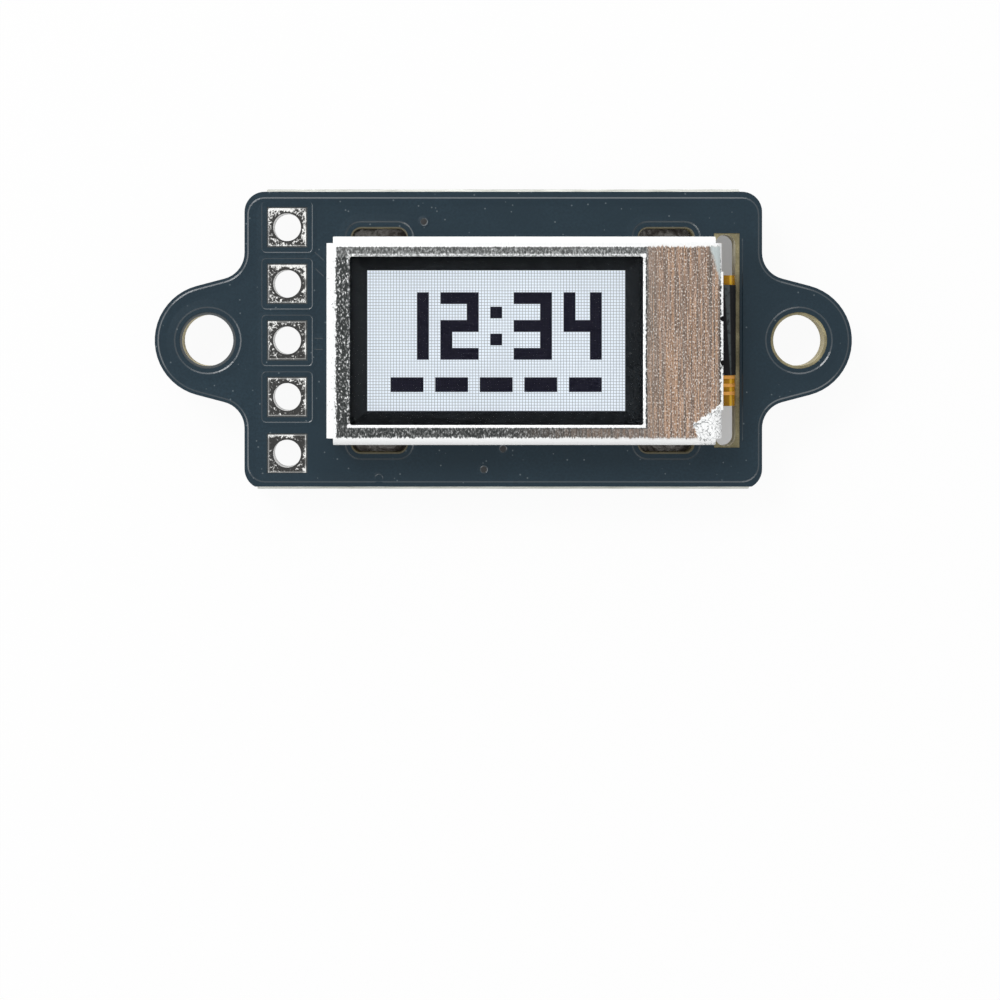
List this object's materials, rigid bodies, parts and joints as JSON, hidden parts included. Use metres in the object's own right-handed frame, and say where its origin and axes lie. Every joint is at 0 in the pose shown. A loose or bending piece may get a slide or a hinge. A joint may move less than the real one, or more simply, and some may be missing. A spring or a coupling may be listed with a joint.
{
  "type": "small flat-panel display module",
  "caption": "Slim carrier board with eared mounting holes, a folded metal bezel round a lit pixel screen, and a flex tail soldered at the rear; shows readings for a controller.",
  "frame": {"origin": "midway between the two mounting holes, on the rear face of the bare board", "axes": "+X runs along the board from the header holes to the flex slot, +Y up the screen, +Z out of the screen"},
  "size_m": [0.0312, 0.0135, 0.0043],
  "materials": {
    "laminate": "rough",
    "mask": "satin",
    "tin": "satin",
    "ink": "matt",
    "bezel": "brushed",
    "solder": "bright",
    "polarizer": "gloss",
    "glass": "clear",
    "lit_pixels": "gloss",
    "dark_pixels": "gloss",
    "border": "matt",
    "silicon": "gloss",
    "tape": "matt",
    "sheet": "satin",
    "guide": "clear",
    "frame": "matt",
    "led": "gloss",
    "film": "gloss",
    "conductor": "satin",
    "cover": "matt",
    "ceramic_dark": "satin",
    "ceramic_tan": "satin",
    "ceramic_light": "satin",
    "alumina": "matt",
    "coat": "satin",
    "terminal": "satin",
    "moulding": "matt"
  },
  "bodies": {
    "root": {"circuit_board": "laminate", "solder_mask_front": "mask", "solder_mask_rear": "mask", "header_lands": "tin", "tab_lands": "tin", "flex_lands": "tin", "chip_lands": "tin", "legend_marks": "ink", "display_bezel": "bezel", "tab_solder": "solder", "front_polarizer": "polarizer", "front_glass": "glass", "pixel_layer": "lit_pixels", "dark_pixels": "dark_pixels", "black_border": "border", "rear_glass": "glass", "rear_polarizer": "polarizer", "driver_chip": "silicon", "rim_tape": "tape", "prism_sheet_upper": "sheet", "prism_sheet_lower": "sheet", "diffuser_sheet": "sheet", "light_guide": "guide", "reflector_sheet": "sheet", "backlight_frame": "frame", "backlight_leds": "led", "led_strip": "film", "mounting_tape": "tape", "flex_film": "film", "flex_conductors": "conductor", "bend_cover": "cover", "flex_solder": "solder", "capacitor_top": "ceramic_dark", "capacitor_second": "ceramic_dark", "capacitor_bottom": "ceramic_tan", "capacitor_partner": "ceramic_light", "resistor_1": "alumina", "resistor_2": "alumina", "resistor_3": "alumina", "resistor_4": "alumina", "resistor_coats": "coat", "capacitor_terminals": "terminal", "resistor_terminals": "terminal", "chip_solder": "solder", "regulator_body": "moulding", "regulator_leads": "terminal", "regulator_solder": "solder"}
  },
  "joints": []
}
